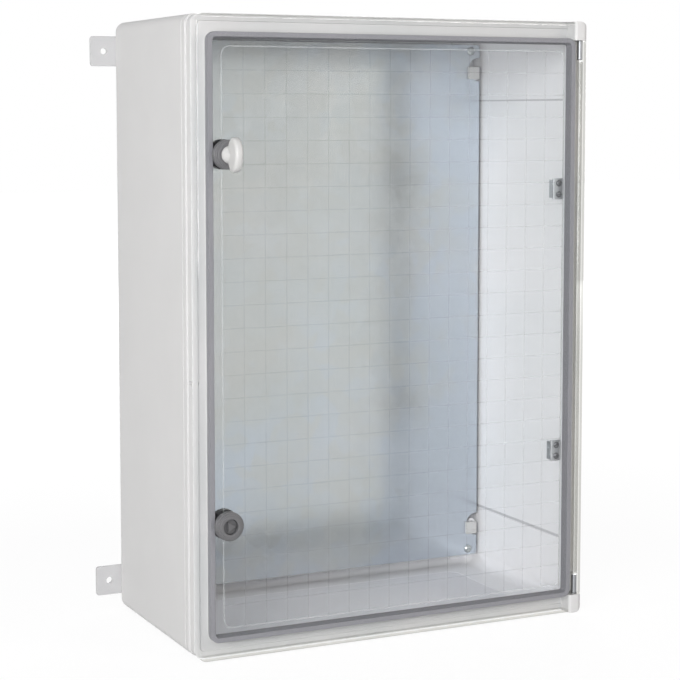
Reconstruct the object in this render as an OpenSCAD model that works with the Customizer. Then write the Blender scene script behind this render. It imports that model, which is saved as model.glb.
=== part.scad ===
// Wall-mounted control cabinet: a deep moulded body, closed by a clear hinged door with two
// quarter-turn locks, with a galvanised mounting plate inside and four wall brackets behind.
// X runs to the right, Y to the back and Z up. The origin lies under the middle of the base.
// Inside the modules Y counts from the door's front face, so that it reads as a depth.

/* [Cabinet] */
// Outside width
cabinet_w = 350; // [320:5:450]
// Outside height
cabinet_h = 500; // [460:5:640]
// Depth from the door's front face to the wall
cabinet_d = 190; // [150:5:240]
// Wall thickness of the moulded body
wall = 3.5; // [3:0.1:4.5]
// Radius of the body's outer edges
edge_r = 8; // [7:0.5:10]
// Radius of the inside corners between the walls, the floor and the ceiling
inner_corner_r = 11; // [6:0.5:12]
// Radius of the fillets at the back of the inside
inner_fillet_r = 10; // [6:1:14]

/* [Rim] */
// Depth of the body's front edge
rim_front = 22.5; // [21:0.5:26]
// Width of the raised band round the body's front edge
rim_band = 6.7; // [5:0.1:9]
// Depth of the sloped shoulder between the opening and the walls
shoulder_d = 20; // [16:1:26]
// Thickness of the shoulder's web
shoulder_t = 3; // [2.4:0.1:3.4]
// Thickness of the sealing lip
lip_t = 2.6; // [2:0.1:3.2]
// Depth of the rain gutter round the sealing lip
gutter_d = 3.4; // [2.5:0.1:6]

/* [Door] */
// Thickness of the clear panel
panel_t = 3; // [2.6:0.1:3.2]
// Thickness of the door's skirt
skirt_t = 2.6; // [2.2:0.1:3]
// Radius of the panel's front edges
door_edge_r = 3; // [2:0.5:4]
// Gap between the door and the ends of the cabinet
door_gap = 0.5; // [0.4:0.1:1]

/* [Hinge] */
// Radius of the hinge barrel
barrel_r = 5.2; // [5:0.1:5.4]
// Height of the hinge lugs on the body
lug_h = 15.6; // [14:0.2:18]
// Length of the door's knuckles
knuckle_h = 17.5; // [14:0.5:24]
// Radius of the hinge pins
pin_r = 2.2; // [1.8:0.1:2.4]

/* [Gasket] */
// Width of the gasket
gasket_w = 5.5; // [5:0.1:5.8]
// Distance from the cabinet's sides to the gasket
gasket_inset_x = 11; // [11:0.1:11.4]
// Distance from the cabinet's ends to the gasket
gasket_inset_z = 14; // [13.5:0.1:14.5]
// Depth of the gasket's back face
gasket_back = 9.6; // [9:0.1:9.8]

/* [Locks] */
// Distance from the left side to the lock axes
lock_inset = 24; // [24:0.1:26]
// Distance between the two locks
lock_pitch = 286; // [240:2:320]
// Radius of the bezel
bezel_r = 11.35; // [10.5:0.05:12]
// How far the bezel stands out
bezel_proud = 8; // [7.6:0.1:9]
// Radius of the recess that holds the insert
recess_r = 6.05; // [5.8:0.05:6.4]
// Corner radius of the triangular post
post_r = 4.4; // [4:0.1:4.6]
// Reach of the cam from its axis
cam_reach = 12.8; // [12:0.1:13.4]
// Thickness of the cam
cam_t = 2.5; // [2:0.1:3]

/* [Key] */
// Height of the key's wing
wing_h = 26.5; // [22:0.5:30]
// Depth of the wing, along the lock axis
wing_d = 18; // [14:0.5:20]
// Thickness of the wing
wing_t = 7; // [6:0.1:8]
// Radius of the key's hub
hub_r = 7.2; // [6.8:0.1:7.6]

/* [Mounting plate] */
// Gap between the plate and the body's side walls
plate_gap_x = 2.8; // [2.5:0.1:5]
// Distance from the cabinet's ends to the plate
plate_inset_z = 14; // [12:0.5:16]
// Thickness of the plate
plate_t = 1.5; // [1.2:0.1:2.5]
// Space behind the plate
plate_standoff = 15; // [13:1:20]
// Radius of the scallops in the plate's long edges
scallop_r = 10.5; // [10.3:0.1:11.5]
// Distance from the plate's ends to the clips
clip_inset = 25.3; // [24:0.1:32]
// Height of the white clips
clip_h = 11.4; // [11:0.1:13]

/* [Wall brackets] */
// How far the brackets reach past the sides
bracket_reach = 21; // [19:0.5:30]
// Width of a bracket
bracket_w = 25; // [22:0.5:26]
// Thickness of a bracket
bracket_t = 3; // [2.5:0.1:3]
// Distance from the sides to the wall holes
wall_hole_out = 9.5; // [9:0.5:12]
// Distance from the ends to the middle of a bracket
bracket_inset_z = 24; // [22:0.5:26]
// Radius of the wall holes
wall_hole_r = 2.75; // [2.5:0.05:3]

/* [Rim brackets] */
// Distance between the two rim brackets
rim_bracket_pitch = 222; // [180:2:240]
// Height of a rim bracket
rim_bracket_h = 17.6; // [16:0.2:20]
// Sheet thickness of a rim bracket
rim_bracket_t = 1.2; // [1:0.1:1.5]

/* [Hidden] */
$fn = 64;

half_w = cabinet_w / 2;
mid_z = cabinet_h / 2;
front_y = -cabinet_d / 2;
past = 5;
running_gap = 0.08;
press_gap = 0.02;
free_gap = 0.3;

// The insides of the body's walls
inside_w = cabinet_w - 2 * wall;
inside_h = cabinet_h - 2 * wall;
inside_back = cabinet_d - wall;

// The gasket, and the sealing lip that stands under its middle
gasket_outer_w = cabinet_w - 2 * gasket_inset_x;
gasket_outer_h = cabinet_h - 2 * gasket_inset_z;
gasket_corner_r = 7;
gasket_groove = 0.6;
gasket_front = panel_t - gasket_groove;
groove_gap = 0.2;
lip_front = gasket_back + free_gap;
lip_outer_w = gasket_outer_w - gasket_w + lip_t;
lip_outer_h = gasket_outer_h - gasket_w + lip_t;
lip_inner_w = lip_outer_w - 2 * lip_t;
lip_inner_h = lip_outer_h - 2 * lip_t;
lip_corner_r = 5;

// The shoulder slopes back from the lip to the walls. The gutter in front of it drains outwards.
lip_d = 3.1;
shoulder_front = lip_front + lip_d;
shoulder_back = shoulder_front + shoulder_d;
shoulder_run = (inside_w - lip_inner_w) / 2;
shoulder_shift = shoulder_t * sqrt(shoulder_d * shoulder_d + shoulder_run * shoulder_run) / shoulder_run;
gutter_wall_outer = 2.1;
gutter_wall_inner = 5.6;
gutter_front = 12.6;
gutter_back = gutter_front + gutter_d;
gutter_outer_r = edge_r - 1;
gutter_inner_r = edge_r - 4;
neck_front = 19.3;
neck_inset = 3.2;
neck_r = edge_r - 2;

// The oval slot that drains the gutter on the closing side
drain_below = 33;
drain_r = 1.5;
drain_front = 14.5;
drain_back = 17.9;

// Lines inside the side walls, each with its height from the middle and its width
wall_line_d = 0.8;
lower_wall_line = [-191, 2.6];
upper_wall_line = [185.5, 1.4];

// Shallow panels in the floor and the ceiling
end_panel_d = 0.8;
end_panel_r = 10;
end_panel_side = 33.5;
end_panel_front = 6;
end_panel_rear = 33;

// The hinge axis, as far from the side as from the front
hinge_x = half_w - barrel_r;
hinge_d = barrel_r;
lug_swing_r = barrel_r + 2.7;
lug_left = barrel_r + 2.4;
notch_left = barrel_r + 3.3;
skirt_d = 2 * barrel_r;
lug_floor = 5;
knuckle_floor = 1.5;
pin_l = lug_h + knuckle_h - knuckle_floor - lug_floor;
pin_chamfer = 0.6;

// The locks, from the front of the bezel to the screw behind the cam
lock_x = lock_inset - half_w;
upper_lock_z = mid_z + lock_pitch / 2;
lower_lock_z = mid_z - lock_pitch / 2;
seal_t = 0.8;
recess_floor = -3.2;
insert_face = -5.2;
insert_r = recess_r - free_gap;
post_tip = -7.7;
shaft_r = 3.6;
sleeve_r = 6;
sleeve_back = 20.2;
cam_front = sleeve_back + 0.4;
cam_back = cam_front + cam_t;
cam_r = 6;
cam_arm_w = 9.6;
tail_w = 5;
tail_back = cam_back - 0.2;
collar_r = 11.5;
collar_t = 6.5;
collar_flat = half_w - gasket_inset_x - gasket_w - free_gap + lock_x;
cam_screw_r = 1.5;
cam_thread_l = 8;
cam_head_r = 3.8;
cam_head_t = 2.2;
catch_left = 8;
catch_gap = 0.8;
catch_w = 7;
catch_half_h = 9;

// The key's socket sits in the recess and its hub on the bezel
key_gap = 0.25;
hub_back = -bezel_proud - free_gap;
hub_front = hub_back - 2.4;
hub_cone_r = 4.4;
hub_cone_front = hub_front - 5;
wing_back = hub_front - 0.6;

// The mounting plate and what holds it
plate_back = inside_back - plate_standoff;
plate_front = plate_back - plate_t;
plate_w = inside_w - 2 * plate_gap_x;
plate_h = cabinet_h - 2 * plate_inset_z;
plate_corner_r = 3;
plate_hole_in = 9.2;
plate_hole_up = 5.5;
plate_hole_x = plate_w / 2 - plate_hole_in;
plate_hole_z = plate_h / 2 - plate_hole_up;
plate_hole_r = 2.3;
plate_screw_r = 1.9;
plate_screw_l = 11;
plate_head_r = 3.7;
plate_head_t = 2.2;
slot_w = 1;
pillar_r = 5;
scallop_in = 0.7;
scallop_rise = 3;
scallop_x = plate_w / 2 - scallop_in;
clip_in = 6.7;
clip_x = plate_w / 2 - clip_in;
clip_z = plate_h / 2 - clip_inset;
clip_r = 2.9;
clip_foot_in = 6.9;
clip_foot_inset = 28;
clip_foot_x = inside_w / 2 - clip_foot_in;
clip_foot_z = plate_h / 2 - clip_foot_inset;
clip_foot = plate_back + 2;
clip_w = 11.2;
clip_hook_t = 2.4;
clip_corner_r = 1.2;
clip_seam_w = 0.6;
clip_seam_below = 2;

// The wall brackets
bracket_z = mid_z - bracket_inset_z;
bracket_front = cabinet_d - bracket_t;
bracket_in = 24;
bracket_screw_in = 15;
bracket_screw_x = half_w - bracket_screw_in;
bracket_screw_r = 2.1;
bracket_screw_reach = 9;
bracket_screw_front = bracket_front - bracket_screw_reach;
bracket_head_r = 4.2;
bracket_corner_r = 2.5;
bracket_boss_t = 5;
wall_hole_x = half_w + wall_hole_out;

// The rim brackets stand on pads inside the right-hand rim
rim_bracket_right = lip_inner_w / 2 - free_gap;
rim_bracket_w = 10.1;
rim_bracket_left = rim_bracket_right - rim_bracket_w;
rim_bracket_front = lip_front + 2.2;
rim_bracket_back = rim_bracket_front + rim_bracket_t;
rim_screw_x = rim_bracket_left + 5.3;
rim_screw_pitch = 9.2;
rim_screw_r = 1.5;
rim_screw_back = 18.5;
rim_head_r = 2.7;
rim_head_t = 1.6;
tongue_h = rim_bracket_h - 2.4;
pad_h = rim_bracket_h - 3.2;
pad_past = 7;
pad_back = 20;

shell_grey = "#d9dadb";
clear_tint = [0.85, 0.9, 0.95, 0.35];
gasket_grey = "#95959b";
lock_grey = "#5b5d61";
zinc = "#b9bec2";
steel_dark = "#3c3d40";
white = "#f0f0ee";

// Moves a piece from door depths to the cabinet's own frame.
module at_front() {
    translate([0, front_y, 0]) children();
}

module rounded_rect(w, h, r) {
    square([w - 2 * r, h], center = true);
    square([w, h - 2 * r], center = true);
    for (sx = [-1, 1], sy = [-1, 1])
        translate([sx * (w / 2 - r), sy * (h / 2 - r)]) circle(r);
}

// A rounded sheet across the cabinet, from depth d0 to depth d1.
module slab(w, h, r, d0, d1) {
    translate([0, d1, mid_z]) rotate([90, 0, 0]) linear_extrude(d1 - d0) rounded_rect(w, h, r);
}

// Extrudes an outline drawn in depth and height along X.
module along_x(x0, x1) {
    translate([x0, 0, 0]) rotate([90, 0, 90]) linear_extrude(x1 - x0) children();
}

// Extrudes an outline drawn in X and height along the depth.
module along_y(d0, d1) {
    translate([0, d1, 0]) rotate([90, 0, 0]) linear_extrude(d1 - d0) children();
}

// A round bar along the depth.
module rod(x, z, r, d0, d1) {
    translate([x, d0, z]) rotate([-90, 0, 0]) cylinder(h = d1 - d0, r = r);
}

module bar(x0, x1, d0, d1, z0, z1) {
    translate([x0, d0, z0]) cube([x1 - x0, d1 - d0, z1 - z0]);
}

// A slab whose edges at depth d1 are rounded.
module rear_rounded(w, h, r, rear_r, d0, d1) {
    length = 2 * cabinet_d;
    intersection() {
        slab(w, h, r, d0, d1);
        translate([0, 0, -past]) linear_extrude(cabinet_h + 2 * past)
            translate([0, d1 - length / 2]) rounded_rect(w, length, rear_r);
        along_x(-half_w - past, half_w + past)
            translate([d1 - length / 2, mid_z]) rounded_rect(length, h, rear_r);
    }
}

// A space with flat sloping sides, w0 by h0 at depth d0 and w1 by h1 at depth d1.
module tapered_space(w0, h0, w1, h1, d0, d1) {
    intersection() {
        linear_extrude(cabinet_h)
            polygon([[-w0 / 2, d0], [w0 / 2, d0], [w1 / 2, d1], [-w1 / 2, d1]]);
        along_x(-half_w, half_w) polygon([
            [d0, mid_z - h0 / 2], [d0, mid_z + h0 / 2], [d1, mid_z + h1 / 2], [d1, mid_z - h1 / 2]
        ]);
    }
}

module shoulder(shift) {
    tapered_space(
        lip_inner_w, lip_inner_h, inside_w, inside_h, shoulder_front - shift, shoulder_back - shift
    );
}

module lip(d0, d1) {
    slab(lip_outer_w, lip_outer_h, lip_corner_r, d0, d1);
}

module shell() {
    difference() {
        union() {
            rear_rounded(cabinet_w, cabinet_h, edge_r, edge_r, rim_front, cabinet_d);
            slab(cabinet_w - 2 * neck_inset, cabinet_h - 2 * neck_inset, neck_r, neck_front, rim_front + 1);
            slab(
                cabinet_w - 2 * gutter_wall_outer, cabinet_h - 2 * gutter_wall_outer, gutter_outer_r,
                gutter_front, neck_front
            );
            lip(lip_front, gutter_front + 1);
        }
        gutter();
        slab(lip_inner_w, lip_inner_h, lip_corner_r - lip_t, lip_front - 1, shoulder_front);
        shoulder(0);
        rear_rounded(inside_w, inside_h, inner_corner_r, inner_fillet_r, shoulder_back, inside_back);
        rim_line();
        wall_lines();
        end_panels();
    }
}

// The rain gutter, whose floor slopes down from the lip
module gutter() {
    difference() {
        slab(
            cabinet_w - 2 * gutter_wall_inner, cabinet_h - 2 * gutter_wall_inner, gutter_inner_r,
            gutter_front - 1, gutter_back
        );
        shoulder(shoulder_shift);
        lip(0, gutter_back + 1);
    }
}

// The fine line behind the raised band of the front edge
module rim_line() {
    line_w = 1.2;
    line_d = 0.6;
    line_front = rim_front + rim_band;
    line_back = line_front + line_w;
    difference() {
        slab(cabinet_w + 2, cabinet_h + 2, edge_r + 1, line_front, line_back);
        slab(cabinet_w - 2 * line_d, cabinet_h - 2 * line_d, edge_r - line_d, rim_front, line_back + 1);
    }
}

// Lines moulded along the insides of the side walls, with the lower one the wider
module wall_lines() {
    line_back = inside_back - inner_fillet_r;
    for (sx = [-1, 1], line = [lower_wall_line, upper_wall_line])
        translate([sx * inside_w / 2, (shoulder_back + line_back) / 2, mid_z + line[0]])
            cube([2 * wall_line_d, line_back - shoulder_back, line[1]], center = true);
}

// Shallow panels in the floor and ceiling, where cable entries are cut
module end_panels() {
    d0 = shoulder_back + end_panel_front;
    d1 = cabinet_d - end_panel_rear;
    for (z = [wall - end_panel_d, cabinet_h - wall - past])
        translate([0, (d0 + d1) / 2, z]) linear_extrude(past + end_panel_d)
            rounded_rect(inside_w - 2 * end_panel_side, d1 - d0, end_panel_r);
}

module hinge_lug(z0) {
    intersection() {
        translate([hinge_x, hinge_d, z0]) linear_extrude(lug_h) {
            circle(barrel_r);
            intersection() {
                circle(lug_swing_r);
                translate([-lug_left, -barrel_r]) square([lug_left, barrel_r]);
            }
            translate([-lug_left, 0]) square([lug_left + barrel_r, rim_front + 1.5 - hinge_d]);
        }
        slab(cabinet_w, cabinet_h, edge_r, 0, rim_front + past);
    }
}

// A block behind the rim that a lock's cam turns behind
module lock_catch(z) {
    bar(
        lock_x - catch_left - catch_w, lock_x - catch_left - catch_gap,
        shoulder_front, sleeve_back, z - catch_half_h, z + catch_half_h
    );
}

module rim_pad(z) {
    bar(
        rim_bracket_left + rim_bracket_t, rim_bracket_right + pad_past,
        rim_bracket_back, pad_back, z - pad_h / 2, z + pad_h / 2
    );
}

// A pillar on the back wall, under the plate's screws and clips
module plate_pillar(x, z, d0) {
    rod(x, z, pillar_r, d0, inside_back + 1);
}

module wall_bracket_boss(sx, sz) {
    z = mid_z + sz * bracket_z;
    boss_w = bracket_w + 2 * wall;
    translate([sx * (half_w - bracket_in / 2 - wall), inside_back - bracket_boss_t / 2 + 1, z])
        cube([bracket_in, bracket_boss_t, boss_w], center = true);
    rod(sx * bracket_screw_x, z, pillar_r, bracket_screw_front - 2, bracket_front);
}

module wall_bracket_pocket(sx, sz) {
    pocket_w = bracket_w + 2 * free_gap;
    length = bracket_in + free_gap + past;
    translate([sx * (half_w - bracket_in - free_gap + length / 2), cabinet_d, mid_z + sz * bracket_z])
        cube([length, 2 * bracket_t, pocket_w], center = true);
}

module drain_slot() {
    drain_z = mid_z - drain_below;
    along_x(-half_w, gutter_wall_inner - half_w + 1) {
        translate([drain_front, drain_z - drain_r]) square([drain_back - drain_front, 2 * drain_r]);
        for (d = [drain_front, drain_back]) translate([d, drain_z]) circle(drain_r);
    }
}

module enclosure_body() {
    color(shell_grey) at_front() difference() {
        union() {
            shell();
            hinge_lug(0);
            hinge_lug(cabinet_h - lug_h);
            for (z = [lower_lock_z, upper_lock_z]) lock_catch(z);
            for (sz = [-1, 1]) {
                rim_pad(mid_z + sz * rim_bracket_pitch / 2);
                for (sx = [-1, 1]) {
                    plate_pillar(sx * plate_hole_x, mid_z + sz * plate_hole_z, plate_back);
                    plate_pillar(sx * clip_foot_x, mid_z + sz * clip_foot_z, clip_foot);
                    wall_bracket_boss(sx, sz);
                }
            }
        }
        for (sz = [-1, 1]) {
            for (row = [-1, 1])
                rod(
                    rim_screw_x, mid_z + sz * rim_bracket_pitch / 2 + row * rim_screw_pitch / 2,
                    rim_screw_r + press_gap, rim_bracket_front, pad_back - 1
                );
            for (sx = [-1, 1]) {
                wall_bracket_pocket(sx, sz);
                rod(
                    sx * plate_hole_x, mid_z + sz * plate_hole_z, plate_screw_r + press_gap,
                    plate_back - 1, plate_back + plate_screw_l + 1
                );
                rod(
                    sx * bracket_screw_x, mid_z + sz * bracket_z, bracket_screw_r + press_gap,
                    bracket_screw_front - 0.5, cabinet_d
                );
            }
        }
        for (top = [0, 1]) hinge_pin_space(top, press_gap);
        drain_slot();
    }
}

// The space of one hinge pin, grown by a gap: the lower pin or, with top = 1, the upper one
module hinge_pin_space(top, gap) {
    translate([hinge_x, hinge_d, top * cabinet_h]) mirror([0, 0, top])
        translate([0, 0, lug_floor - gap]) cylinder(h = pin_l + 2 * gap, r = pin_r + gap);
}

module hinge_pin(top) {
    shank = pin_l - pin_chamfer;
    color(zinc) at_front() translate([hinge_x, hinge_d, top * cabinet_h]) mirror([0, 0, top])
        translate([0, 0, lug_floor]) {
            cylinder(h = shank, r = pin_r);
            translate([0, 0, shank]) cylinder(h = pin_chamfer, r1 = pin_r, r2 = pin_r - pin_chamfer);
        }
}

// The door as a block: round at the hinge, with rounded front edges on its other sides
module door_block() {
    door_h = cabinet_h - 2 * door_gap;
    intersection() {
        slab(cabinet_w, door_h, edge_r - door_gap, 0, skirt_d);
        linear_extrude(cabinet_h) {
            translate([-half_w, door_edge_r]) square([half_w + hinge_x, skirt_d - door_edge_r]);
            translate([door_edge_r - half_w, 0]) square([half_w + hinge_x - door_edge_r, skirt_d]);
            translate([door_edge_r - half_w, door_edge_r]) circle(door_edge_r);
            translate([hinge_x, hinge_d]) circle(barrel_r);
        }
        along_x(-half_w - 1, half_w + 1) translate([skirt_d, mid_z])
            rounded_rect(2 * skirt_d, door_h, door_edge_r);
    }
}

module door_hollow() {
    hollow_w = cabinet_w - 2 * skirt_t;
    hollow_h = cabinet_h - 2 * door_gap - 2 * skirt_t;
    intersection() {
        slab(hollow_w, hollow_h, edge_r - skirt_t, panel_t, skirt_d + 1);
        bar(-half_w, hinge_x, 0, skirt_d + 1, 0, cabinet_h);
    }
    translate([hinge_x, hinge_d, 0]) cylinder(h = cabinet_h, r = barrel_r - skirt_t);
}

module gasket_ring(grow, d0, d1) {
    difference() {
        slab(gasket_outer_w + 2 * grow, gasket_outer_h + 2 * grow, gasket_corner_r, d0, d1);
        slab(
            gasket_outer_w - 2 * gasket_w - 2 * grow, gasket_outer_h - 2 * gasket_w - 2 * grow,
            gasket_corner_r - gasket_w, d0 - 1, d1 + 1
        );
    }
}

// The knuckle and the short wall beside a lug, at the lower end or, with top = 1, the upper one
module door_corner(top) {
    wall_left = hinge_x - notch_left - skirt_t;
    translate([0, 0, top * cabinet_h]) mirror([0, 0, top]) {
        translate([hinge_x, hinge_d, lug_h + free_gap]) cylinder(h = knuckle_h, r = barrel_r);
        bar(
            wall_left, wall_left + skirt_t, panel_t - 0.5, gasket_back,
            skirt_t, gasket_inset_z - 2 * groove_gap
        );
    }
}

// The space in the door's corner that a lug fills
module lug_notch(top) {
    translate([0, 0, top * cabinet_h]) mirror([0, 0, top])
        bar(hinge_x - notch_left, half_w + 1, -1, skirt_d + 1, -1, lug_h + free_gap);
}

module door_panel() {
    color(clear_tint) at_front() difference() {
        union() {
            difference() {
                door_block();
                door_hollow();
            }
            for (top = [0, 1]) door_corner(top);
        }
        for (top = [0, 1]) {
            lug_notch(top);
            hinge_pin_space(top, running_gap);
        }
        for (z = [lower_lock_z, upper_lock_z]) rod(lock_x, z, sleeve_r + free_gap, -1, panel_t + 1);
        gasket_ring(groove_gap, gasket_front, panel_t + 0.5);
    }
}

module door_gasket() {
    color(gasket_grey) at_front() gasket_ring(0, gasket_front, gasket_back);
}

// Turns an outline of radius and depth about a lock's axis.
module lock_turned(z) {
    translate([lock_x, 0, z]) rotate([-90, 0, 0]) rotate_extrude() children();
}

module lock_housing(z) {
    step_r = bezel_r - 1.1;
    ring_r = bezel_r - 2.7;
    bore_r = shaft_r + running_gap;
    color(lock_grey) at_front() lock_turned(z) polygon([
        [recess_r, -bezel_proud], [ring_r, -bezel_proud], [ring_r, 0.7 - bezel_proud],
        [step_r, 0.7 - bezel_proud], [step_r, 2 - bezel_proud], [bezel_r, 2 - bezel_proud],
        [bezel_r, -seal_t], [sleeve_r, -seal_t], [sleeve_r, sleeve_back],
        [bore_r, sleeve_back], [bore_r, recess_floor], [recess_r, recess_floor]
    ]);
}

module lock_seal(z) {
    color(steel_dark) at_front() lock_turned(z)
        translate([sleeve_r + free_gap, -seal_t]) square([bezel_r - 0.7 - sleeve_r - free_gap, seal_t]);
}

// The clamping collar, with a flat that keeps clear of the gasket
module lock_collar(z) {
    color(lock_grey) at_front() difference() {
        rod(lock_x, z, collar_r, panel_t, panel_t + collar_t);
        rod(lock_x, z, sleeve_r + press_gap, 0, panel_t + collar_t + 1);
        bar(
            lock_x - 2 * collar_r, lock_x - collar_flat, 0, panel_t + collar_t + 1,
            z - collar_r, z + collar_r
        );
    }
}

module lock_insert(z) {
    color(lock_grey) at_front() difference() {
        union() {
            rod(lock_x, z, insert_r, insert_face, recess_floor - free_gap);
            rod(lock_x, z, shaft_r, recess_floor - free_gap, cam_front);
            translate([lock_x, 0, z]) along_y(post_tip, insert_face) circle(post_r, $fn = 3);
            translate([lock_x, 0, z]) along_y(cam_front, tail_back) square(tail_w, center = true);
        }
        rod(lock_x, z, cam_screw_r, tail_back - cam_thread_l - free_gap, tail_back + 1);
    }
}

// The cam hangs down while the lock is open and turns to the left to close it.
module lock_cam(z) {
    color(zinc) at_front() translate([lock_x, 0, z]) along_y(cam_front, cam_back) difference() {
        union() {
            circle(cam_r);
            intersection() {
                translate([-cam_arm_w / 2, -cam_reach]) square([cam_arm_w, cam_reach]);
                circle(cam_reach);
            }
        }
        square(tail_w + 2 * press_gap, center = true);
    }
}

// The slot across a screw's head
module screw_slot(x, z, head_r, d0, d1) {
    bar(x - head_r, x + head_r, d0, d1, z - slot_w / 2, z + slot_w / 2);
}

module cam_screw(z) {
    head_back = cam_back + cam_head_t;
    color(zinc) at_front() {
        rod(lock_x, z, cam_screw_r - press_gap, tail_back - cam_thread_l, cam_back);
        difference() {
            rod(lock_x, z, cam_head_r, cam_back, head_back);
            screw_slot(lock_x, z, cam_head_r, cam_back + cam_head_t / 2, head_back + 1);
        }
    }
}

module wing_key() {
    socket_r = recess_r - free_gap;
    wing_mid = wing_back - wing_d / 2;
    wing_edge_r = wing_t / 2 - 0.4;
    color(white) at_front() translate([lock_x, 0, upper_lock_z]) difference() {
        union() {
            rod(0, 0, socket_r, hub_back - 0.5, insert_face - free_gap);
            rod(0, 0, hub_r, hub_front, hub_back);
            translate([0, hub_front, 0]) rotate([90, 0, 0])
                cylinder(h = hub_front - hub_cone_front, r1 = hub_r, r2 = hub_cone_r);
            intersection() {
                along_x(-wing_t, wing_t) translate([wing_mid, 0])
                    rounded_rect(wing_d, wing_h, wing_d / 2 - 0.5);
                along_y(wing_mid - wing_d, wing_mid + wing_d) rounded_rect(wing_t, wing_h + 1, wing_edge_r);
            }
        }
        along_y(post_tip - key_gap, 0) circle(post_r + 2 * key_gap, $fn = 3);
    }
}

module mounting_plate() {
    color(zinc) at_front() difference() {
        slab(plate_w, plate_h, plate_corner_r, plate_front, plate_back);
        for (sx = [-1, 1], sz = [-1, 1]) {
            rod(
                sx * scallop_x, mid_z + sz * clip_z + scallop_rise, scallop_r,
                plate_front - 1, plate_back + 1
            );
            rod(
                sx * plate_hole_x, mid_z + sz * plate_hole_z, plate_hole_r,
                plate_front - 1, plate_back + 1
            );
        }
    }
}

module plate_screws() {
    head_front = plate_front - plate_head_t;
    color(zinc) at_front() for (sx = [-1, 1], sz = [-1, 1]) {
        x = sx * plate_hole_x;
        z = mid_z + sz * plate_hole_z;
        rod(x, z, plate_screw_r, plate_front, plate_back + plate_screw_l);
        difference() {
            rod(x, z, plate_head_r, head_front, plate_front);
            screw_slot(x, z, plate_head_r, head_front - 1, plate_front - plate_head_t / 2);
        }
    }
}

// White clips that stand low in the scallops and hold the plate's edges down, with a seam across each
module plate_clips() {
    clip_front = plate_front - clip_hook_t;
    color(white) at_front() for (sx = [-1, 1], sz = [-1, 1]) {
        rod(
            sx * clip_foot_x, mid_z + sz * clip_foot_z, clip_r,
            plate_front - clip_hook_t / 2, clip_foot
        );
        translate([sx * clip_x, 0, mid_z + sz * clip_z]) difference() {
            along_y(clip_front, plate_front) rounded_rect(clip_w, clip_h, clip_corner_r);
            translate([0, clip_front, -clip_seam_below])
                cube([clip_w + 1, 2 * clip_seam_w, clip_seam_w], center = true);
        }
    }
}

module wall_bracket(sx, sz) {
    x0 = half_w - bracket_in;
    x1 = half_w + bracket_reach;
    color(shell_grey) at_front() difference() {
        translate([sx * (x0 + x1) / 2, 0, mid_z + sz * bracket_z])
            along_y(bracket_front, cabinet_d) rounded_rect(x1 - x0, bracket_w, bracket_corner_r);
        rod(sx * wall_hole_x, mid_z + sz * bracket_z, wall_hole_r, bracket_front - 1, cabinet_d + 1);
        wall_bracket_screw(sx, sz, press_gap);
    }
}

// A countersunk screw, grown by a gap for the hole it sits in
module wall_bracket_screw(sx, sz, gap) {
    cone_h = bracket_head_r - bracket_screw_r;
    translate([sx * bracket_screw_x, 0, mid_z + sz * bracket_z]) rotate([-90, 0, 0]) {
        translate([0, 0, bracket_screw_front])
            cylinder(h = cabinet_d - bracket_screw_front, r = bracket_screw_r + gap);
        translate([0, 0, cabinet_d - cone_h])
            cylinder(h = cone_h, r1 = bracket_screw_r + gap, r2 = bracket_head_r + gap);
    }
}

module wall_bracket_screws() {
    color(zinc) at_front() for (sx = [-1, 1], sz = [-1, 1]) difference() {
        wall_bracket_screw(sx, sz, 0);
        screw_slot(
            sx * bracket_screw_x, mid_z + sz * bracket_z, bracket_head_r,
            cabinet_d - slot_w, cabinet_d + 1
        );
    }
}

module rim_bracket(sz) {
    z = mid_z + sz * rim_bracket_pitch / 2;
    color(zinc) at_front() difference() {
        union() {
            bar(
                rim_bracket_left, rim_bracket_right, rim_bracket_front, rim_bracket_back,
                z - rim_bracket_h / 2, z + rim_bracket_h / 2
            );
            bar(
                rim_bracket_left, rim_bracket_left + rim_bracket_t, rim_bracket_front, rim_screw_back,
                z - tongue_h / 2, z + tongue_h / 2
            );
        }
        for (row = [-1, 1])
            rod(
                rim_screw_x, z + row * rim_screw_pitch / 2, rim_screw_r + running_gap,
                rim_bracket_front - 1, rim_bracket_back + 1
            );
    }
}

module rim_bracket_screws() {
    head_front = rim_bracket_front - rim_head_t;
    color(steel_dark) at_front() for (sz = [-1, 1], row = [-1, 1]) {
        z = mid_z + sz * rim_bracket_pitch / 2 + row * rim_screw_pitch / 2;
        rod(rim_screw_x, z, rim_screw_r, rim_bracket_front, rim_screw_back);
        difference() {
            rod(rim_screw_x, z, rim_head_r, head_front, rim_bracket_front);
            screw_slot(rim_screw_x, z, rim_head_r, head_front - 1, rim_bracket_front - rim_head_t / 2);
        }
    }
}

enclosure_body();
mounting_plate();
plate_screws();
plate_clips();
wall_bracket(-1, 1);  // upper_left_wall_bracket
wall_bracket(1, 1);  // upper_right_wall_bracket
wall_bracket(-1, -1);  // lower_left_wall_bracket
wall_bracket(1, -1);  // lower_right_wall_bracket
wall_bracket_screws();
rim_bracket(1);  // upper_rim_bracket
rim_bracket(-1);  // lower_rim_bracket
rim_bracket_screws();
hinge_pin(1);  // upper_hinge_pin
hinge_pin(0);  // lower_hinge_pin
door_panel();
door_gasket();
lock_housing(upper_lock_z);  // upper_lock_housing
lock_seal(upper_lock_z);  // upper_lock_seal
lock_collar(upper_lock_z);  // upper_lock_collar
lock_insert(upper_lock_z);  // upper_lock_insert
lock_cam(upper_lock_z);  // upper_lock_cam
cam_screw(upper_lock_z);  // upper_cam_screw
lock_housing(lower_lock_z);  // lower_lock_housing
lock_seal(lower_lock_z);  // lower_lock_seal
lock_collar(lower_lock_z);  // lower_lock_collar
lock_insert(lower_lock_z);  // lower_lock_insert
lock_cam(lower_lock_z);  // lower_lock_cam
cam_screw(lower_lock_z);  // lower_cam_screw
wing_key();
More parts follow.
